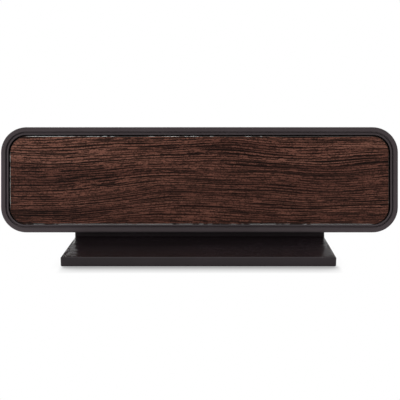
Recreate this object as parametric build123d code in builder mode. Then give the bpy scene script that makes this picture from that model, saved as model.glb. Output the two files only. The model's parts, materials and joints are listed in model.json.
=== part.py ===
from build123d import *

import os
from math import cos, radians, sin, tan

# Desk name plate: a framed woodgrain insert that leans back on a low pedestal base.
# Sizes are in millimetres. +Z is up, the sign faces -Y and +X runs along it.
# The origin is at the centre of the base's footprint, on the desk.

os.makedirs("parts", exist_ok=True)

# Insert: two-ply engraving stock, a woodgrain cap on a white core
insert_width = 203.2
insert_height = 47.3
insert_corner = 8.9
core_thickness = 1.35
cap_thickness = 0.25
core_bevel = 0.25

# Tray: moulded pan behind the insert, whose rim shows as a thin bead round it
end_clearance = 0.55
edge_clearance = 0.4
insert_drop = 0.25
insert_recess = 0.8
rim_width = 0.95
rim_rounding = 0.35
rim_setback = 0.25
seat_ledge = 1.6
tray_cavity = 3.65
tray_floor = 1.6
plug_clearance = 0.2
rib_thickness = 1.2
rib_count = 7

# Outer frame: moulded ring with a rounded band in front and a screwed flange behind
band_width = 2.5
groove_width = 0.7
groove_depth = 1.2
locating_clearance = 0.15
flange_reach = 9.5
flange_thickness = 1.6
front_rounding = 1.0
rear_chamfer = 0.5
lip_chamfer = 0.25

# Magnets in the tray and the steel keepers on the insert that they hold
magnet_diameter = 12.0
magnet_thickness = 2.0
magnet_end = 26.3
magnet_fit = 0.1
magnet_gap = 0.15
cup_wall = 1.2
keeper_diameter = 11.0
keeper_thickness = 0.5

# Countersunk screws that hold the outer frame's flange to the tray
frame_screw_diameter = 2.0
frame_screw_head = 3.7
frame_screw_drive = 2.0
frame_screw_end = 22.0
frame_boss_diameter = 5.0

# Pan-head screws that hold the tray to the base's neck
neck_screw_diameter = 2.9
neck_screw_head = 5.6
neck_screw_head_height = 2.0
neck_screw_head_chamfer = 0.7
neck_screw_drive = 3.2
neck_screw_end = 17.8
neck_screw_margin = 6.0
neck_screw_edge = 6.0
neck_boss_diameter = 7.5

# Clearances and drive crosses that both kinds of screw share
pilot_clearance = 0.05
through_clearance = 0.25
boss_cap = 1.25
tip_clearance = 0.6
drive_slot_width = 0.5
drive_slot_depth = 0.6

# Base: moulded plate with a neck that leans back, open underneath
base_width = 136.0
base_wall = 1.8
neck_setback = 47.0
neck_thickness = 3.2
neck_tilt = 10.0
neck_corner = 6.0
heel_depth = 13.25
sign_gap = 2.6
root_rounding = 0.8
edge_chamfer = 0.4
base_rib_thickness = 2.0
gusset_thickness = 2.4
gusset_height = 15.0
gusset_margin = 2.0
gusset_end = 6.0

# Ballast, its tape and the felt pad, all inside the base's rim
ballast_thickness = 1.5
ballast_tape_thickness = 0.5
ballast_clearance = 0.4
tape_inset = 4.0
pad_thickness = 1.5
pad_standoff = 0.5
pad_clearance = 0.3

# Insets from the frame's outline to each edge inside it, seen from the front
ring_wall = band_width + groove_width - locating_clearance
rim_outer = band_width + groove_width
rim_inner = rim_outer + rim_width
hollow_edge = rim_inner + seat_ledge
plug_edge = flange_reach + plug_clearance

# Frame outline, worked out from the insert that it holds
frame_width = insert_width + 2 * (end_clearance + rim_inner)
frame_height = insert_height + 2 * (edge_clearance + rim_inner)
frame_corner = insert_corner + end_clearance + rim_inner

# Levels in front of the sign's back face
floor_level = flange_thickness + tray_floor
seat_level = floor_level + tray_cavity
cap_level = seat_level + core_thickness
rim_level = cap_level + cap_thickness + insert_recess
frame_depth = rim_level + rim_setback
magnet_level = seat_level - keeper_thickness - magnet_gap - magnet_thickness
hole_end = seat_level - boss_cap
screw_end = hole_end - tip_clearance

# Heights above the desk and places along Y, from the stack in the base and its footprint
tilt = radians(neck_tilt)
ceiling_height = pad_thickness + ballast_thickness + ballast_tape_thickness
top_height = ceiling_height + base_wall
neck_depth = neck_thickness / cos(tilt)
base_depth = neck_setback + neck_depth + heel_depth
base_front = -base_depth / 2
base_rear = base_depth / 2
neck_front = base_front + neck_setback
neck_rear = neck_front + neck_depth
neck_height = sign_gap + flange_reach + neck_screw_margin + neck_screw_edge

# The neck's front face carries the sign, so both lie in one leaning plane
neck_face = Plane(
    origin=(0, neck_front, top_height),
    x_dir=(1, 0, 0),
    z_dir=(0, -cos(tilt), sin(tilt)),
)
sign_back = Plane(
    origin=neck_face.from_local_coords((0, sign_gap + frame_height / 2, 0)),
    x_dir=neck_face.x_dir,
    z_dir=neck_face.z_dir,
)
sign_rear = Plane(origin=sign_back.origin, x_dir=(-1, 0, 0), z_dir=-sign_back.z_dir)
sign_axis = Axis(sign_back.origin, sign_back.z_dir)

# Rib, screw and magnet places on the sign, measured from its centre
rib_pitch = (frame_width - 2 * hollow_edge) / (rib_count + 1)
magnet_spacing = insert_width - 2 * magnet_end
frame_screw_inset = (ring_wall + flange_reach) / 2
frame_screw_x = frame_width - 2 * frame_screw_end
frame_screw_y = frame_height - 2 * frame_screw_inset
neck_screw_x = base_width - 2 * neck_screw_end
neck_screw_y = flange_reach + neck_screw_margin - frame_height / 2


def frame_outline(inset, mode=Mode.ADD):
    # Rounded rectangle that follows the frame's outline at an inset
    RectangleRounded(
        frame_width - 2 * inset,
        frame_height - 2 * inset,
        frame_corner - inset,
        mode=mode,
    )


def insert_outline(inset):
    # The insert rests low in its recess, so more of the gap is above it
    with Locations((0, -insert_drop)):
        RectangleRounded(
            insert_width - 2 * inset,
            insert_height - 2 * inset,
            insert_corner - inset,
        )


def frame_screw_places():
    return GridLocations(frame_screw_x, frame_screw_y, 2, 2)


def neck_screw_places():
    return Locations((-neck_screw_x / 2, neck_screw_y), (neck_screw_x / 2, neck_screw_y))


def magnet_places():
    return GridLocations(magnet_spacing, 0, 2, 1)


# Outer frame
with BuildPart() as outer_frame:
    with BuildSketch(sign_back):
        frame_outline(0)
    extrude(amount=frame_depth)
    fillet(outer_frame.faces().sort_by(sign_axis)[-1].edges(), front_rounding)
    chamfer(outer_frame.faces().sort_by(sign_axis)[0].edges(), rear_chamfer)
    # Decorative groove, open to the front
    with BuildSketch(sign_back.offset(frame_depth)):
        frame_outline(band_width)
    extrude(amount=-groove_depth, mode=Mode.SUBTRACT)
    # Pocket that locates the tray's rim
    with BuildSketch(sign_back.offset(flange_thickness)):
        frame_outline(ring_wall)
    extrude(amount=frame_depth - flange_thickness, mode=Mode.SUBTRACT)
    # Opening in the rear flange for the tray's plug
    with BuildSketch(sign_back):
        frame_outline(flange_reach)
    extrude(amount=flange_thickness, mode=Mode.SUBTRACT)
    band_face = outer_frame.faces().sort_by(sign_axis)[-1]
    chamfer(band_face.inner_wires()[0].edges(), lip_chamfer)
    # Countersunk holes in the flange
    with Locations(sign_rear):
        with frame_screw_places():
            CounterSinkHole(
                radius=frame_screw_diameter / 2 + through_clearance,
                counter_sink_radius=frame_screw_head / 2 + pilot_clearance,
                depth=flange_thickness,
                counter_sink_angle=90,
            )
outer_frame.part.label = "outer_frame"
export_step(outer_frame.part, "parts/outer_frame.step")

# Insert tray
with BuildPart() as insert_tray:
    with BuildSketch(sign_back.offset(flange_thickness)):
        frame_outline(rim_outer)
    extrude(amount=rim_level - flange_thickness)
    # Recess for the insert, with a rounded rim
    with BuildSketch(sign_back.offset(seat_level)):
        frame_outline(rim_inner)
    extrude(amount=rim_level - seat_level, mode=Mode.SUBTRACT)
    fillet(insert_tray.faces().sort_by(sign_axis)[-1].edges(), rim_rounding)
    # Hollow behind the insert, which leaves a ledge under the insert's edge
    with BuildSketch(sign_back.offset(floor_level)):
        frame_outline(hollow_edge)
    extrude(amount=tray_cavity, mode=Mode.SUBTRACT)
    # Plug that fills the flange's opening flush with the back
    with BuildSketch(sign_back):
        frame_outline(plug_edge)
    extrude(amount=flange_thickness)
    # Ribs, screw bosses and magnet cups, level with the seat
    with BuildSketch(sign_back.offset(floor_level)):
        with GridLocations(rib_pitch, 0, rib_count, 1):
            Rectangle(rib_thickness, frame_height)
        Rectangle(frame_width, rib_thickness)
        with frame_screw_places():
            Circle(frame_boss_diameter / 2)
        with neck_screw_places():
            Circle(neck_boss_diameter / 2)
        with magnet_places():
            Circle(magnet_diameter / 2 + magnet_fit + cup_wall)
        frame_outline(rim_inner, mode=Mode.INTERSECT)
    extrude(amount=tray_cavity)
    # Pilot holes, blind from the back
    with BuildSketch(sign_back):
        with frame_screw_places():
            Circle(frame_screw_diameter / 2 + pilot_clearance)
        with neck_screw_places():
            Circle(neck_screw_diameter / 2 + pilot_clearance)
    extrude(amount=hole_end, mode=Mode.SUBTRACT)
    # Magnet pockets, open to the front
    with BuildSketch(sign_back.offset(magnet_level)):
        with magnet_places():
            Circle(magnet_diameter / 2 + magnet_fit)
    extrude(amount=seat_level - magnet_level, mode=Mode.SUBTRACT)
insert_tray.part.label = "insert_tray"
export_step(insert_tray.part, "parts/insert_tray.step")

# White core of the insert, bevelled round its front edge
with BuildPart() as insert_core:
    with BuildSketch(sign_back.offset(seat_level)):
        insert_outline(0)
    extrude(amount=core_thickness)
    chamfer(insert_core.faces().sort_by(sign_axis)[-1].edges(), core_bevel)
insert_core.part.label = "insert_core"
export_step(insert_core.part, "parts/insert_core.step")

# Woodgrain cap of the insert, which carries the bevel on to its face
with BuildPart() as insert_cap:
    with BuildSketch(sign_back.offset(cap_level)):
        insert_outline(core_bevel)
    extrude(amount=cap_thickness, taper=45)
insert_cap.part.label = "insert_cap"
export_step(insert_cap.part, "parts/insert_cap.step")

# Magnets in the tray's cups and the keepers behind the insert
for side, direction in (("left", -1), ("right", 1)):
    place = (direction * magnet_spacing / 2, 0)
    with BuildPart() as magnet:
        with BuildSketch(sign_back.offset(magnet_level)):
            with Locations(place):
                Circle(magnet_diameter / 2)
        extrude(amount=magnet_thickness)
    magnet.part.label = f"magnet_{side}"
    export_step(magnet.part, f"parts/magnet_{side}.step")
    with BuildPart() as keeper:
        with BuildSketch(sign_back.offset(seat_level)):
            with Locations(place):
                Circle(keeper_diameter / 2)
        extrude(amount=-keeper_thickness)
    keeper.part.label = f"keeper_{side}"
    export_step(keeper.part, f"parts/keeper_{side}.step")

# Frame screws: countersunk, flush with the flange's back
frame_screw_cone = (frame_screw_head - frame_screw_diameter) / 2
with BuildPart() as frame_screws:
    with BuildSketch(sign_rear):
        with frame_screw_places():
            Circle(frame_screw_diameter / 2)
    extrude(amount=-screw_end)
    with BuildSketch(sign_rear):
        with frame_screw_places():
            Circle(frame_screw_head / 2)
    extrude(amount=-frame_screw_cone, taper=45)
    with BuildSketch(sign_rear):
        with frame_screw_places():
            Rectangle(frame_screw_drive, drive_slot_width)
            Rectangle(drive_slot_width, frame_screw_drive)
    extrude(amount=-drive_slot_depth, mode=Mode.SUBTRACT)
frame_screws.part.label = "frame_screws"
export_step(frame_screws.part, "parts/frame_screws.step")

# Neck screws: pan heads on the back of the neck
neck_back = sign_back.offset(-neck_thickness)
with BuildPart() as neck_screws:
    with BuildSketch(neck_back):
        with neck_screw_places():
            Circle(neck_screw_diameter / 2)
    extrude(amount=neck_thickness + screw_end)
    with BuildSketch(neck_back):
        with neck_screw_places():
            Circle(neck_screw_head / 2)
    extrude(amount=-neck_screw_head_height)
    head_tops = neck_screws.faces().group_by(sign_axis)[0]
    chamfer(head_tops.edges(), neck_screw_head_chamfer)
    with BuildSketch(neck_back.offset(-neck_screw_head_height)):
        with neck_screw_places():
            Rectangle(neck_screw_drive, drive_slot_width)
            Rectangle(drive_slot_width, neck_screw_drive)
    extrude(amount=drive_slot_depth, mode=Mode.SUBTRACT)
neck_screws.part.label = "neck_screws"
export_step(neck_screws.part, "parts/neck_screws.step")

# Base: side profile of the plate and the leaning neck
root = (neck_front, top_height)
neck_top_front = (root[0] + neck_height * sin(tilt), root[1] + neck_height * cos(tilt))
neck_top_rear = (
    neck_top_front[0] + neck_thickness * cos(tilt),
    neck_top_front[1] - neck_thickness * sin(tilt),
)
with BuildPart() as base:
    with BuildSketch(Plane.YZ):
        with BuildLine():
            Polyline(
                (base_front, pad_standoff),
                (base_front, top_height),
                root,
                neck_top_front,
                neck_top_rear,
                (neck_rear, top_height),
                (base_rear, top_height),
                (base_rear, pad_standoff),
                close=True,
            )
        make_face()
    extrude(amount=base_width / 2, both=True)
    # Concave roots of the neck, then the corners at its top
    long_edges = base.edges().filter_by(Axis.X)
    neck_roots = [
        long_edges.sort_by_distance((0, y, top_height))[0] for y in (neck_front, neck_rear)
    ]
    fillet(neck_roots, root_rounding)
    neck_corners = base.edges().filter_by(sign_axis).group_by(Axis.Z)[-1]
    fillet(neck_corners, neck_corner)
    # Edge breaks all round the plate and the neck
    front_to_back = base.edges().filter_by(Axis.X).group_by(Axis.Y)
    plate_edges = front_to_back[0] + front_to_back[-1]
    end_edges = base.faces().filter_by(Axis.X).edges()
    chamfer(plate_edges + end_edges, edge_chamfer)
    # Hollow under the plate
    with BuildSketch(Plane.XY.offset(pad_standoff)):
        Rectangle(base_width - 2 * base_wall, base_depth - 2 * base_wall)
    extrude(amount=ceiling_height - pad_standoff, mode=Mode.SUBTRACT)
    # Rib under the neck and shorter ones behind it
    with BuildSketch(Plane.XY.offset(pad_thickness)):
        with Locations((0, (neck_front + neck_rear) / 2)):
            Rectangle(base_width - base_wall, neck_depth)
        heel_middle = (neck_rear + base_rear) / 2
        gusset_spacing = base_width / 2 - gusset_end
        with Locations((0, heel_middle)):
            with GridLocations(gusset_spacing, 0, 3, 1):
                Rectangle(base_rib_thickness, heel_depth)
    extrude(amount=ceiling_height - pad_thickness)
    # Gussets that brace the neck from behind
    for x in (-gusset_spacing, 0, gusset_spacing):
        with BuildSketch(Plane.YZ.offset(x)):
            with BuildLine():
                Polyline(
                    (neck_front + neck_depth / 2, top_height - base_wall / 2),
                    (base_rear - gusset_margin, top_height - base_wall / 2),
                    (base_rear - gusset_margin, top_height),
                    (neck_rear + gusset_height * tan(tilt), top_height + gusset_height),
                    (neck_front + neck_depth / 2, top_height),
                    close=True,
                )
            make_face()
        extrude(amount=gusset_thickness / 2, both=True)
    # Clearance holes through the neck
    with BuildSketch(sign_back):
        with neck_screw_places():
            Circle(neck_screw_diameter / 2 + through_clearance)
    extrude(amount=-neck_thickness, mode=Mode.SUBTRACT)
base.part.label = "base"
export_step(base.part, "parts/base.step")

# Ballast pocket: in front of the rib under the neck
pocket_width = base_width - 2 * base_wall
pocket_depth = neck_setback - base_wall
pocket_middle = (0, (base_front + base_wall + neck_front) / 2)

# Steel ballast plate, stuck up inside the pocket
with BuildPart() as ballast_plate:
    with BuildSketch(Plane.XY.offset(pad_thickness)):
        with Locations(pocket_middle):
            Rectangle(pocket_width - 2 * ballast_clearance, pocket_depth - 2 * ballast_clearance)
    extrude(amount=ballast_thickness)
ballast_plate.part.label = "ballast_plate"
export_step(ballast_plate.part, "parts/ballast_plate.step")

# Double-sided tape that holds the ballast
with BuildPart() as ballast_tape:
    with BuildSketch(Plane.XY.offset(ceiling_height - ballast_tape_thickness)):
        with Locations(pocket_middle):
            Rectangle(pocket_width - 2 * tape_inset, pocket_depth - 2 * tape_inset)
    extrude(amount=ballast_tape_thickness)
ballast_tape.part.label = "ballast_tape"
export_step(ballast_tape.part, "parts/ballast_tape.step")

# Felt pad inside the base's rim, standing a little below it
with BuildPart() as base_pad:
    pad_inset = base_wall + pad_clearance
    with BuildSketch(Plane.XY):
        Rectangle(base_width - 2 * pad_inset, base_depth - 2 * pad_inset)
    extrude(amount=pad_thickness)
base_pad.part.label = "base_pad"
export_step(base_pad.part, "parts/base_pad.step")

print("frame", frame_width, frame_height, frame_depth)
print("base", base_width, base_depth, top_height)
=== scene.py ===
import json
from math import asin, cos, pi, sin

import bmesh
import bpy
from mathutils import Matrix, Vector


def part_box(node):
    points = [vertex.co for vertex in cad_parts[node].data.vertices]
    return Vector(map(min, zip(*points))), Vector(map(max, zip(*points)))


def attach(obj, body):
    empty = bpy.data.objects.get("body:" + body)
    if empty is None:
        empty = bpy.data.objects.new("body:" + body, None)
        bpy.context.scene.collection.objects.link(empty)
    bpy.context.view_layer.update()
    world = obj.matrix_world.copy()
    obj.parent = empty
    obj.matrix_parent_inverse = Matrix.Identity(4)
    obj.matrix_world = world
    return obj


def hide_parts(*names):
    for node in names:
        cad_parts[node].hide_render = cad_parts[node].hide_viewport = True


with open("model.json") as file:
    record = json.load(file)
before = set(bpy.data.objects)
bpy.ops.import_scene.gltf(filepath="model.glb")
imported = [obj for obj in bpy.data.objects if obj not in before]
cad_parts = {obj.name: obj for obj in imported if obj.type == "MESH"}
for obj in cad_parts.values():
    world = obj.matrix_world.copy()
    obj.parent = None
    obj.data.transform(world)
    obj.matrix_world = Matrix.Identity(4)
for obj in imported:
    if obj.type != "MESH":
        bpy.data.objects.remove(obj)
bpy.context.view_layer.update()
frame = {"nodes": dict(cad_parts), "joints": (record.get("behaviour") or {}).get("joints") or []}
nodes = frame["nodes"]
mm = 0.001
lift = Vector(frame["joints"][0]["axis"])  # the sign's normal, which the insert lifts along
lean = asin(lift.z)
faceTurn = pi / 2 - lean  # from lying flat to the sign's lean
print("frame loaded:", len(nodes), "nodes")


def middleOf(node):
    low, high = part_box(node)
    return (low + high) / 2


def frontOf(node):  # how far a node reaches in front of the insert's middle, in mm
    middle = middleOf("insert_cap")
    return max((corner.co - middle).dot(lift) for corner in nodes[node].data.vertices) / mm


def linear(red, green, blue):  # screen colour, 0 to 255, as the renderer's own values
    shares = [level / 255 for level in (red, green, blue)]
    return tuple(s / 12.92 if s < 0.04045 else ((s + 0.055) / 1.055) ** 2.4 for s in shares) + (1,)


# one value in a node tree: Python's signs add Math nodes
class Wire:
    def __init__(self, finish, socket):
        self.finish = finish
        self.socket = socket

    def maths(self, operation, first, second):
        return self.finish.node("Math", {"operation": operation}, {0: first, 1: second})

    def __add__(self, other):
        return self.maths("ADD", self, other)

    def __radd__(self, other):
        return self.maths("ADD", other, self)

    def __sub__(self, other):
        return self.maths("SUBTRACT", self, other)

    def __rsub__(self, other):
        return self.maths("SUBTRACT", other, self)

    def __mul__(self, other):
        return self.maths("MULTIPLY", self, other)

    def __rmul__(self, other):
        return self.maths("MULTIPLY", other, self)

    def __truediv__(self, other):
        return self.maths("DIVIDE", self, other)

    def __floordiv__(self, other):
        return self.maths("FLOOR", self / other, 0.0)

    def __abs__(self):
        return self.maths("ABSOLUTE", self, 0.0)

    def swing(self):  # a noise, moved to swing about nought
        return self - 0.5


# a material or world, wired from Python
class Finish:
    def __init__(self, name, owner=None):
        self.owner = owner or bpy.data.materials.new(name)
        self.owner.use_nodes = True
        self.tree = self.owner.node_tree
        self.tree.nodes.clear()

    def node(self, kind, settings=None, sockets=None, out=0):
        made = self.tree.nodes.new("ShaderNode" + kind)
        for name, value in (settings or {}).items():
            if name == "stops":  # a ramp's places and colours
                ramp = made.color_ramp.elements
                while len(ramp) < len(value):
                    ramp.new(0.5)
                for element, (place, colour) in zip(ramp, value):
                    element.position = place
                    element.color = colour
            else:
                setattr(made, name, value)
        for key, value in (sockets or {}).items():
            if isinstance(value, Wire):
                self.tree.links.new(value.socket, made.inputs[key])
            else:
                made.inputs[key].default_value = value
        return Wire(self, made.outputs[out]) if made.outputs else None

    def place(self, middle=(0, 0, 0), turn=0.0):  # object coordinates in mm, about a point
        spot = self.node("TexCoord", out="Object")
        return self.node(
            "Mapping",
            {"vector_type": "TEXTURE"},
            {"Vector": spot, "Location": middle, "Rotation": (turn, 0, 0), "Scale": (mm, mm, mm)},
        )

    def axes(self, vector):
        parts = self.node("SeparateXYZ", sockets={0: vector}).socket.node.outputs
        return [Wire(self, part) for part in parts]

    def noise(self, vector, size, detail, rough=0.5):
        return self.node(
            "TexNoise",
            {},
            {"Vector": vector, "Scale": 1 / size, "Detail": detail, "Roughness": rough},
        )

    def streaks(self, along, across, length, height, seed, detail):  # noise drawn out along the grain
        spot = self.node("CombineXYZ", {}, {0: along / length, 1: across / height, 2: seed})
        return self.node("TexNoise", {}, {"Vector": spot, "Scale": 1.0, "Detail": detail})

    def step(self, value, low, high, first=0.0, last=1.0):  # smooth ramp between two levels
        return self.node(
            "MapRange",
            {"interpolation_type": "SMOOTHSTEP"},
            {"Value": value, "From Min": low, "From Max": high, "To Min": first, "To Max": last},
        )

    def tint(self, factor, first, second):
        return self.node("Mix", {"data_type": "RGBA"}, {0: factor, 6: first, 7: second}, out=2)

    def bump(self, height, depth):  # depth in mm
        return self.node("Bump", {}, {"Height": height, "Distance": depth * mm, "Strength": 1.0})

    def surface(self, **sockets):
        named = {key.replace("_", " "): value for key, value in sockets.items()}
        shader = self.node("BsdfPrincipled", {}, named)
        self.node("OutputMaterial", {}, {"Surface": shader})
        return self.owner


finishes = {}


def dress(material, *names):  # gives CAD nodes their finish
    for name in names:
        nodes[name].data.materials.clear()
        nodes[name].data.materials.append(material)
        finishes[name] = material


# black moulded plastic: fine spark texture, faint handling marks, painted shade down in a recess
def mouldedPlastic(name, look):
    finish = Finish(name)
    spot = finish.place()
    spark = finish.noise(spot, *look["spark"])
    smear = finish.noise(spot, *look["smear"])
    cloud = finish.step(smear, *look["smearEdge"])
    colour = finish.tint(cloud, linear(*look["dark"]), linear(*look["light"]))
    # painted shade: near-black down in the recess below the rim's crown, where the gap lies in shade
    if "crown" in look:
        _, _, height = finish.axes(finish.place(middleOf("insert_cap"), faceTurn))
        deep = look["crown"] - height
        recessShade = finish.step(deep, *look["shadeFrom"]) * finish.step(deep, *look["shadeTo"], 1.0, 0.0)
        colour = finish.tint(recessShade, colour, linear(*look["paintedShade"]))
    rough = look["rough"] + smear.swing() * look["smearRough"] + spark.swing() * look["sparkRough"]
    return finish.surface(
        Base_Color=colour,
        Roughness=rough,
        Specular_IOR_Level=look["gloss"],
        Normal=finish.bump(spark, look["sparkDepth"]),
    )


plastic = {
    "dark": (63, 56, 58),
    "light": (68, 61, 63),
    "spark": (0.35, 3),  # each noise is a size in mm, detail and roughness
    "sparkDepth": 0.02,
    "sparkRough": 0.08,
    "smear": (38.0, 4, 0.6),
    "smearEdge": (0.35, 0.7),
    "smearRough": 0.14,
    "rough": 0.46,
    "gloss": 0.06,
}
recess = {
    **plastic,
    "crown": frontOf("insert_tray"),
    "shadeFrom": (0.2, 0.7),  # mm below the rim's crown, where the painted shade starts
    "shadeTo": (2.6, 3.0),
    # the painted shade's colour
    "paintedShade": (10, 9, 9),
}
black = {**plastic, "dark": (33, 27, 29), "light": (37, 30, 33), "rough": 0.25, "gloss": 0.22}
dress(mouldedPlastic("frame_plastic", plastic), "outer_frame")
dress(mouldedPlastic("tray_plastic", recess), "insert_tray")
dress(mouldedPlastic("base_plastic", black), "base")


# printed walnut: wavy grain in bands, thin dark dashes in rows, short pores, painted light towards
# the top
def walnutPrint(name, look):
    finish = Finish(name)
    along, across, _ = finish.axes(finish.place(middleOf("insert_cap"), faceTurn))
    sway = finish.streaks(along, across, *look["sway"]).swing()
    wobble = finish.streaks(along, across, *look["wobble"]).swing()
    wavy = across + sway * look["swayDepth"] + wobble * look["wobbleDepth"]
    tone = finish.streaks(along, wavy, *look["tone"]).swing()
    fibre = finish.streaks(along, wavy, *look["fibre"]).swing()
    pore = finish.streaks(along, wavy, *look["pore"])
    light = look["level"] + tone * look["toneShare"] + fibre * look["fibreShare"]
    # painted light: lighter towards the top, as if lit more from above
    light = light + across * look["paintedTopLight"]
    bare = 1 - finish.step(pore, *look["poreEdge"]) * look["poreShare"]
    cluster = finish.streaks(along, wavy, *look["cluster"])
    crowd = finish.step(cluster, *look["clusterEdge"], look["sparse"], 1.0)
    for count, (length, pitch, start, share) in enumerate(look["dashes"]):
        row = wavy // pitch
        off = abs((wavy / pitch - row).swing())  # how far from the row's middle
        seed = look["dashSeed"] + count
        run = finish.streaks(along, row, length, look["rowJump"], seed, look["dashDetail"])
        thin = run - off * look["taper"]  # so that a dash tapers at its ends
        ends = finish.step(thin, start, start + look["dashSoft"])
        dash = ends * finish.step(off, *look["dashSide"], 1.0, 0.0)
        bare = bare * (1 - dash * crowd * share)
    stops = [(place, linear(*colour)) for place, colour in look["browns"]]
    brown = finish.node("ValToRGB", {"stops": stops}, {"Fac": light})
    return finish.surface(
        Base_Color=finish.tint(bare, linear(*look["ink"]), brown),
        Roughness=look["rough"] + (1 - bare) * look["dashRough"],
        Specular_IOR_Level=look["gloss"],
        Normal=finish.bump(light + bare, look["relief"]),
    )


walnut = {
    "browns": [
        (0.0, (38, 23, 19)),
        (0.35, (58, 35, 28)),
        (0.5, (76, 46, 38)),
        (0.7, (99, 63, 52)),
        (1.0, (119, 80, 67)),
    ],
    "ink": (8, 5, 4),
    "sway": (110.0, 40.0, 1.5, 1),  # streaks: length along and height across in mm, seed, detail
    "swayDepth": 17.0,
    "wobble": (24.0, 3.0, 2.8, 1),
    "wobbleDepth": 1.0,
    "level": 0.64,
    "paintedTopLight": 0.0017,  # painted light: each mm up is this much lighter
    "tone": (120.0, 12.0, 4.0, 1),
    "toneShare": 1.1,
    "fibre": (34.0, 0.5, 7.7, 1),
    "fibreShare": 0.75,
    "cluster": (60.0, 14.0, 11.3, 2),
    "clusterEdge": (0.38, 0.6),
    "sparse": 0.8,  # share of the dashes' ink between the clusters
    "dashes": [  # length and row pitch in mm, noise level where a dash starts, share of ink
        (12.0, 1.3, 0.37, 0.87),
        (5.0, 1.0, 0.45, 0.87),
        (40.0, 1.7, 0.49, 0.9),
    ],
    "dashSeed": 15.9,
    "dashDetail": 1,
    "rowJump": 0.13,  # small, so that neighbouring rows share nothing
    "taper": 0.4,
    "dashSoft": 0.04,
    "dashSide": (0.12, 0.26),  # shares of the pitch where a dash's side starts and ends
    "dashRough": 0.15,
    "pore": (0.8, 0.55, 21.4, 1),
    "poreEdge": (0.52, 0.58),
    "poreShare": 0.55,
    "rough": 0.45,
    "gloss": 0.05,
    "relief": 0.03,
}
dress(walnutPrint("walnut_print", walnut), "insert_cap")


# white engraving core: saw marks along the cut, dirt in patches, darker round the corners and towards
# the right, painted shade towards the top
def engravingCore(name, look):
    finish = Finish(name)
    flat = finish.place(middleOf("insert_core"), faceTurn)
    along, across, _ = finish.axes(flat)
    sawn = {"W": along / look["sawPitch"], "Detail": look["sawDetail"]}
    saw = finish.node("TexNoise", {"noise_dimensions": "1D"}, sawn)
    patch = finish.noise(flat, *look["patch"])
    speck = finish.noise(flat, *look["speck"])
    soilAndShade = patch.swing() * look["patchShare"] + speck.swing()
    above = finish.step(across, *look["driftRise"])
    # darker towards the right above the bottom edge; painted shade that grows towards the top, under
    # the frame's rim
    soilAndShade = soilAndShade + along * above * look["driftRight"] + across * look["shadeUp"]
    # darker round the corners
    corner = finish.step(abs(along), *look["cornerX"]) * finish.step(abs(across), *look["cornerY"])
    soiledAndShaded = 1 - (1 - finish.step(soilAndShade, *look["dirtAndShadeEdge"]) * look["dirtAndShadeShare"]) * (1 - corner)
    return finish.surface(
        Base_Color=finish.tint(soiledAndShaded, linear(*look["white"]), linear(*look["dirtAndShade"])),
        Roughness=look["rough"] + saw * look["sawRough"],
        Normal=finish.bump(saw, look["sawDepth"]),
    )


core = {
    "white": (208, 210, 208),
    "dirtAndShade": (52, 42, 38),
    "rough": 0.45,
    "sawPitch": 0.5,
    "sawDetail": 2.0,
    "sawRough": 0.2,
    "sawDepth": 0.03,
    "patch": (40.0, 2),
    "patchShare": 1.5,
    "speck": (4.0, 2),
    "driftRight": 0.0035,  # darker towards the right except along the bottom, and painted shade growing towards the top
    "shadeUp": 0.005,
    "driftRise": (-22.0, -12.0),
    "dirtAndShadeEdge": (-0.05, 0.12),
    "dirtAndShadeShare": 0.9,
    "cornerX": (90.5, 94.0),  # mm from the middle, where the darker corners start
    "cornerY": (12.0, 16.0),
}
dress(engravingCore("engraving_core", core), "insert_core")


# bare or plated steel: rolling lines one way, tarnish in patches
def rolledSteel(name, look):
    finish = Finish(name)
    spot = finish.place()
    along, deep, across = finish.axes(spot)
    grain = finish.streaks(along, across + deep, *look["grain"])
    patch = finish.noise(spot, *look["patch"])
    tarnish = finish.step(patch, *look["patchEdge"])
    rough = look["rough"] + grain.swing() * look["grainRough"] + patch.swing() * look["patchRough"]
    return finish.surface(
        Base_Color=finish.tint(tarnish, linear(*look["light"]), linear(*look["dark"])),
        Metallic=1.0,
        Roughness=rough,
        Normal=finish.bump(grain, look["grainDepth"]),
    )


zinc = {
    "light": (178, 180, 184),
    "dark": (128, 130, 136),
    "grain": (1.5, 0.3, 3.1, 3),
    "grainDepth": 0.01,
    "grainRough": 0.2,
    "patch": (2.5, 3),
    "patchEdge": (0.35, 0.7),
    "patchRough": 0.12,
    "rough": 0.32,
}
plate = {
    **zinc,
    "light": (158, 158, 160),
    "dark": (112, 112, 114),
    "grain": (18.0, 0.3, 3.1, 3),
    "patch": (14.0, 3),
    "rough": 0.4,
}
keeper = {**plate, "grain": (8.0, 0.3, 3.1, 3), "rough": 0.28}
dress(rolledSteel("zinc_screws", zinc), "frame_screws", "neck_screws")
dress(rolledSteel("ballast_steel", plate), "ballast_plate")
dress(rolledSteel("keeper_steel", keeper), "keeper_left", "keeper_right")


# ground ferrite: grey-black with fine pits
def groundFerrite(name, look):
    finish = Finish(name)
    pit = finish.noise(finish.place(), *look["pit"])
    return finish.surface(
        Base_Color=finish.tint(pit, linear(*look["dark"]), linear(*look["light"])),
        Roughness=look["rough"] + pit * look["pitRough"],
        Normal=finish.bump(pit, look["pitDepth"]),
    )


ferrite = {
    "dark": (38, 38, 41),
    "light": (72, 72, 76),
    "pit": (0.25, 4, 0.6),
    "pitDepth": 0.04,
    "pitRough": 0.25,
    "rough": 0.45,
}
dress(groundFerrite("ground_ferrite", ferrite), "magnet_left", "magnet_right")


# pressed felt: matted fibres
def pressedFelt(name, look):
    finish = Finish(name)
    spot = finish.place()
    matted = finish.noise(spot, *look["matted"])
    strand = finish.noise(spot, *look["strand"])
    nap = matted * look["mattedShare"] + strand * look["strandShare"]
    return finish.surface(
        Base_Color=finish.tint(matted, linear(*look["dark"]), linear(*look["light"])),
        Roughness=look["rough"],
        Sheen_Weight=look["sheen"],
        Sheen_Roughness=look["sheenRough"],
        Normal=finish.bump(nap, look["napDepth"]),
    )


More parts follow.
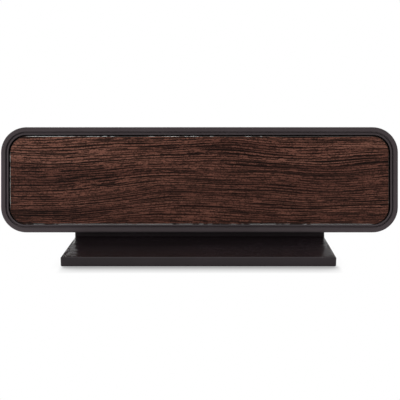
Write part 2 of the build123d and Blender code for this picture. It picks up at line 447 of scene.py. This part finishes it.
# foam tape: open cells
def foamTape(name, look):
    finish = Finish(name)
    cells = {"Vector": finish.place(), "Scale": look["cellsPerMm"]}
    cell = finish.node("TexVoronoi", {"feature": "F1"}, cells)
    wall = finish.step(cell, *look["cellEdge"])
    return finish.surface(
        Base_Color=finish.tint(wall, linear(*look["light"]), linear(*look["dark"])),
        Roughness=look["rough"],
        Normal=finish.bump(1 - wall, look["cellDepth"]),
    )


# in edit mode: selects faces, or edges, by their direction
def pickFaces(piece, wanted):
    bpy.ops.mesh.select_mode(type="FACE")
    bpy.ops.mesh.select_all(action="DESELECT")
    shape = bmesh.from_edit_mesh(piece.data)
    for face in shape.faces:
        face.select_set(wanted(face.normal))
    bmesh.update_edit_mesh(piece.data)


def pickEdges(piece, wanted):
    bpy.ops.mesh.select_mode(type="EDGE")
    bpy.ops.mesh.select_all(action="DESELECT")
    shape = bmesh.from_edit_mesh(piece.data)
    for edge in shape.edges:
        start, end = (corner.co for corner in edge.verts)
        edge.select_set(wanted((end - start).normalized()))
    bmesh.update_edit_mesh(piece.data)


def finishPiece(piece, material):
    piece.data.materials.clear()
    piece.data.materials.append(material)
    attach(piece, "stand")


# a soft layer in a CAD node's place: rounded corners, soft rims, a lumpy face
def softLayer(name, node, look):
    low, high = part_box(node)
    bpy.ops.object.select_all(action="DESELECT")
    bpy.ops.mesh.primitive_cube_add(size=1, location=(low + high) / 2, scale=high - low)
    layer = bpy.context.object
    layer.name = name
    bpy.ops.object.transform_apply(location=True, rotation=False, scale=True)
    bpy.ops.object.mode_set(mode="EDIT")
    pickEdges(layer, lambda along: abs(along.z) > 0.9)  # the upright edges
    bpy.ops.mesh.bevel(offset=look["corner"] * mm, segments=look["cornerSteps"])
    pickEdges(layer, lambda along: abs(along.z) < 0.1)  # the level ones, round both faces
    bpy.ops.mesh.bevel(offset=look["rim"] * mm, segments=look["rimSteps"])
    for axis in (0, 1):  # cuts both ways, so that the face can be lumpy
        count = int((high[axis] - low[axis]) / (look["lump"] / look["cutsPerLump"] * mm))
        normal = [1.0 if other == axis else 0.0 for other in range(3)]
        for cut in range(1, count):
            spot = low.copy()
            spot[axis] += (high[axis] - low[axis]) * cut / count
            bpy.ops.mesh.select_all(action="SELECT")
            bpy.ops.mesh.bisect(plane_co=spot, plane_no=normal)
    bpy.ops.object.mode_set(mode="OBJECT")
    lumps = bpy.data.textures.new(name, "CLOUDS")
    lumps.noise_scale = look["lump"] * mm
    press = layer.modifiers.new("lumps", "DISPLACE")
    press.texture = lumps
    press.mid_level = 1.0  # only inwards, so that the layer keeps its place
    press.strength = look["lumpDepth"] * mm
    bpy.ops.object.modifier_apply(modifier=press.name)
    bpy.ops.object.shade_smooth_by_angle(angle=look["crease"])
    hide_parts(node)
    return layer


felt = {
    "corner": 2.5,  # mm, as are the rim and the lumps
    "cornerSteps": 6,
    "rim": 0.45,
    "rimSteps": 3,
    "lump": 5.0,
    "lumpDepth": 0.16,
    "cutsPerLump": 2,
    "crease": 1.0,
    "fill": 0.9,
    "dark": (24, 24, 25),
    "light": (58, 57, 58),
    "matted": (0.8, 6, 0.7),
    "mattedShare": 0.6,
    "strand": (0.18, 3, 0.6),
    "strandShare": 0.4,
    "napDepth": 0.25,
    "rough": 0.95,
    "sheen": 0.5,
    "sheenRough": 0.5,
}
tape = {
    "corner": 1.0,
    "cornerSteps": 6,
    "rim": 0.1,
    "rimSteps": 2,
    "lump": 9.0,
    "lumpDepth": 0.05,
    "cutsPerLump": 2,
    "crease": 1.0,
    "fill": 0.9,
    "light": (214, 212, 205),
    "dark": (176, 174, 168),
    "cellsPerMm": 2.2,
    "cellEdge": (0.1, 0.7),
    "cellDepth": 0.12,
    "rough": 0.85,
}
dress(pressedFelt("pressed_felt", felt), "base_pad")
dress(foamTape("foam_tape", tape), "ballast_tape")
print("finishes:", len(finishes))
finishPiece(softLayer("felt_pad", "base_pad", felt), finishes["base_pad"])
finishPiece(softLayer("ballast_foam", "ballast_tape", tape), finishes["ballast_tape"])
print("soft layers: felt pad and foam tape")


# a cross-drive screw along z: its head's outer face at z = 0, its shank above
def crossScrew(name, look, length):
    rings = []  # radius and height of each ring from the crown of the head to the tip
    for step in range(look["crownSteps"] + 1):
        turn = pi / 2 * step / look["crownSteps"]
        reach = look["crown"] + (look["head"] - look["crown"]) * sin(turn)
        rings.append((reach, look["crownHeight"] * (1 - cos(turn))))
    rings += [(look["head"], look["landHeight"]), (look["shank"], look["headHeight"])]
    tipRadius = look["shank"] * look["tipShare"]
    rings += [(look["shank"], length / mm - look["tip"]), (tipRadius, length / mm)]
    bpy.ops.object.select_all(action="DESELECT")
    bpy.ops.mesh.primitive_circle_add(
        vertices=look["sides"], radius=rings[0][0] * mm, fill_type="NGON"
    )
    screw = bpy.context.object
    screw.name = name
    bpy.ops.object.mode_set(mode="EDIT")
    bpy.ops.mesh.select_all(action="SELECT")
    for (before, start), (after, end) in zip(rings, rings[1:]):
        rise = (0, 0, (end - start) * mm)
        bpy.ops.mesh.extrude_region_move(TRANSFORM_OT_translate={"value": rise})
        share = after / before
        bpy.ops.transform.resize(value=(share, share, 1), center_override=(0, 0, 0))
    bpy.ops.mesh.select_all(action="SELECT")
    bpy.ops.mesh.normals_make_consistent(inside=False)
    bpy.ops.object.mode_set(mode="OBJECT")
    depth = look["driveDepth"] * mm
    taper = (look["driveTaper"], look["driveTaper"], 1)
    for wide, deep in (look["drive"], look["drive"][::-1]):  # two tapered bars cut the cross
        bpy.ops.object.select_all(action="DESELECT")
        bpy.ops.mesh.primitive_cube_add(size=1, scale=(wide * mm, deep * mm, 2 * depth))
        bar = bpy.context.object
        bpy.ops.object.transform_apply(location=False, rotation=False, scale=True)
        bpy.ops.object.mode_set(mode="EDIT")
        pickFaces(bar, lambda normal: normal.z > 0.9)  # the end that goes into the head
        bpy.ops.transform.resize(value=taper, center_override=(0, 0, depth))
        bpy.ops.object.mode_set(mode="OBJECT")
        bpy.ops.object.select_all(action="DESELECT")
        screw.select_set(True)
        bpy.context.view_layer.objects.active = screw
        cut = screw.modifiers.new("drive", "BOOLEAN")
        cut.operation = "DIFFERENCE"
        cut.object = bar
        bpy.ops.object.modifier_apply(modifier=cut.name)
        bpy.data.objects.remove(bar)
    soften = screw.modifiers.new("edges", "BEVEL")
    soften.width = look["edge"] * mm
    soften.segments = look["edgeSteps"]
    soften.limit_method = "ANGLE"
    soften.angle_limit = look["crease"]
    bpy.ops.object.modifier_apply(modifier=soften.name)
    bpy.ops.object.shade_smooth_by_angle(angle=look["crease"])
    return screw


def sideGap(first, second):  # how far apart two spots lie across the screws
    return abs(first[0] - second[0]) + abs(first[1] - second[1])


# puts a copy of a screw wherever the CAD node has one
def setScrews(node, look):
    sideways = Vector((1, 0, 0))
    axes = (sideways, lift.cross(sideways), lift)
    groups = []
    for corner in nodes[node].data.vertices:
        spot = [corner.co.dot(axis) for axis in axes]
        near = [group for group in groups if sideGap(group[0], spot) < look["apart"] * mm]
        if near:
            near[0].append(spot)
        else:
            groups.append([spot])
    model = None
    for count, spots in enumerate(sorted(groups)):
        low, high = [[pick(side) for side in zip(*spots)] for pick in (min, max)]
        if not model:
            model = crossScrew(look["name"], look, high[2] - low[2])
        screw = bpy.data.objects.new(f"{look['name']}_{count + 1}", model.data.copy())
        bpy.context.scene.collection.objects.link(screw)
        turn = Matrix.Rotation(look["turn"] * count, 4, "Z")
        facing = Matrix(axes).transposed().to_4x4()
        place = Matrix.Translation([(low[0] + high[0]) / 2, (low[1] + high[1]) / 2, low[2]])
        screw.data.transform(facing @ place @ turn)
        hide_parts(node)
        finishPiece(screw, finishes[node])
    bpy.data.objects.remove(model)
    print(node, "set:", len(groups))


panHead = {
    "name": "neck_screw",
    "head": 2.8,  # radii and heights in mm
    "crown": 1.7,
    "crownHeight": 1.1,
    "crownSteps": 6,
    "landHeight": 1.99,
    "headHeight": 2.0,
    "shank": 1.45,
    "tip": 1.0,
    "tipShare": 0.4,
    "sides": 48,
    "drive": (3.0, 0.62),
    "driveDepth": 1.1,
    "driveTaper": 0.5,
    "edge": 0.07,
    "edgeSteps": 2,
    "crease": 0.6,
    "apart": 20.0,  # mm, within which corners belong to one screw
    "turn": 0.9,  # each screw stops this much further round than the last
}
countersunk = {
    **panHead,
    "name": "frame_screw",
    "head": 1.85,
    "crownHeight": 0.05,
    "crownSteps": 2,
    "landHeight": 0.1,
    "headHeight": 0.85,
    "shank": 1.0,
    "drive": (2.0, 0.45),
    "driveDepth": 0.7,
    "edge": 0.04,
}
setScrews("neck_screws", panHead)
setScrews("frame_screws", countersunk)

# floor: white to the eye, darker only where the object stands close above it
white = (1, 1, 1, 1)
floorLook = {
    "size": 6.0,
    "paper": (0.8, 0.8, 0.8, 1),
    "upward": 0.8,  # share of its white that lights the object from below
    "samples": 32,
    "ring": 6.0,  # faint shadow all round, reach in mm and share of the light
    "ringShare": 0.12,
    "front": 11.5,  # deeper shadow in front of the base
    "frontShare": 0.81,
    "from": (-0.35, 0.8, 0.5),  # where the light comes from that the base keeps off
    "fade": 6.0,  # mm behind the base's front edge where the deeper shadow has gone
    "ends": 3.0,  # mm over which it fades at the base's ends
    "inset": 1.5,  # mm in from the left end where it starts
}
bpy.ops.object.select_all(action="DESELECT")
bpy.ops.mesh.primitive_plane_add(size=floorLook["size"], location=(0, 0, 0))
floor = bpy.context.object
floor.name = "floor"
paper = Finish("floor_paper")
matte = paper.node("BsdfDiffuse", {}, {"Color": floorLook["paper"]})
nearBy = {"samples": floorLook["samples"]}
ring = paper.node("AmbientOcclusion", nearBy, {"Distance": floorLook["ring"] * mm}, out="AO")
tilted = paper.node("CombineXYZ", {}, dict(enumerate(floorLook["from"])))
reach = {"Distance": floorLook["front"] * mm, "Normal": tilted}
ahead = paper.node("AmbientOcclusion", nearBy, reach, out="AO")
along, depth, _ = paper.axes(paper.place())
corner, far = (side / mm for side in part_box("base"))
left, right = corner.x + floorLook["inset"], far.x
inFront = paper.step(depth, corner.y, corner.y + floorLook["fade"], floorLook["frontShare"], 0.0)
inFront = inFront * paper.step(along, left - floorLook["ends"], left)
inFront = inFront * paper.step(along, right, right + floorLook["ends"], 1.0, 0.0)
shade = (1 - (1 - ring) * floorLook["ringShare"]) * (1 - (1 - ahead) * inFront)
glow = paper.node("Emission", {}, {"Color": white, "Strength": shade})
rays = paper.node("LightPath").socket.node.outputs
seen = Wire(paper, rays["Is Camera Ray"]) + Wire(paper, rays["Is Glossy Ray"])
seen = seen + Wire(paper, rays["Is Transmission Ray"])
seen = seen + Wire(paper, rays["Is Diffuse Ray"]) * floorLook["upward"]
sheet = paper.node("MixShader", {}, {0: seen, 1: matte, 2: glow})
paper.node("OutputMaterial", {}, {"Surface": sheet})
floor.data.materials.append(paper.owner)
print("floor laid")

# world: a white backdrop behind the sign, a dim room in front, a bright ceiling in the reflections
room = {
    "ambient": 0.22,
    "front": 0.12,
    "back": 1.0,
    "frontToBack": (-0.3, 0.5),
    "ceiling": 1.7,
    "ceilingEdge": (0.8, 0.93),
}
sky = Finish("studio", bpy.data.worlds.new("studio"))
rays = sky.node("LightPath").socket.node.outputs
_, depth, height = sky.axes(sky.node("TexCoord", out="Generated"))
mirrored = sky.step(depth, *room["frontToBack"], room["front"], room["back"])
overhead = sky.step(height, *room["ceilingEdge"])
mirrored = mirrored * (1 - overhead) + overhead * room["ceiling"]
glossy = Wire(sky, rays["Is Glossy Ray"])
seen = Wire(sky, rays["Is Camera Ray"]) + Wire(sky, rays["Is Transmission Ray"])
level = room["ambient"] * (1 - glossy - seen) + mirrored * glossy + seen
backing = sky.node("Background", {}, {"Color": white, "Strength": level})
sky.node("OutputWorld", {}, {"Surface": backing})
bpy.context.scene.world = sky.owner


# soft boxes, in metres and watts, aimed at the sign
def softBox(name, spot, wide, tall, power):
    lamp = bpy.data.lights.new(name, "AREA")
    lamp.shape = "RECTANGLE"
    lamp.size = wide
    lamp.size_y = tall
    lamp.energy = power
    box = bpy.data.objects.new(name, lamp)
    box.location = spot
    box.rotation_mode = "QUATERNION"
    box.rotation_quaternion = (middleOf("insert_cap") - Vector(spot)).to_track_quat("-Z", "Y")
    bpy.context.scene.collection.objects.link(box)


bigBox = {"wide": 0.6, "tall": 0.6}
lowBox = {"wide": 0.07, "tall": 0.03}  # sheen on the base's ends, past the neck
lamps = {
    "key": {**bigBox, "spot": (-0.8, -0.85, 0.45), "power": 9.4},
    "fill": {**bigBox, "spot": (0.8, -0.85, 0.4), "power": 4.4},
    "rear": {**bigBox, "spot": (-0.5, 1.0, 0.7), "power": 9.0},  # for views of the back
    "lowLeft": {**lowBox, "spot": (-0.17, 0.6, 0.027), "power": 0.07},
    "lowRight": {**lowBox, "spot": (0.152, 0.6, 0.027), "power": 0.06},
}
for name, look in lamps.items():
    softBox(name, **look)
print("lamps:", len(lamps))

# camera, square to the leaning face and a little to its right
view = {
    "spot": (6.45, -450.7, 107.75),  # mm
    "focal": 873.8,  # the lens in pixels of a frame this wide, and the column that it points at
    "frame": 400.0,
    "principalX": 211.5,
    "sensor": 36.0,
    "nearClip": 0.01,
}
lens = bpy.data.cameras.new("camera")
lens.sensor_width = view["sensor"]
lens.lens = view["sensor"] * view["focal"] / view["frame"]
lens.shift_x = (view["frame"] / 2 - view["principalX"]) / view["frame"]
lens.clip_start = view["nearClip"]
camera = bpy.data.objects.new("camera", lens)
camera.location = Vector(view["spot"]) * mm
camera.rotation_euler = (faceTurn, 0, 0)
bpy.context.scene.collection.objects.link(camera)
bpy.context.scene.camera = camera
bpy.context.scene.view_settings.view_transform = "Standard"
print("studio ready")
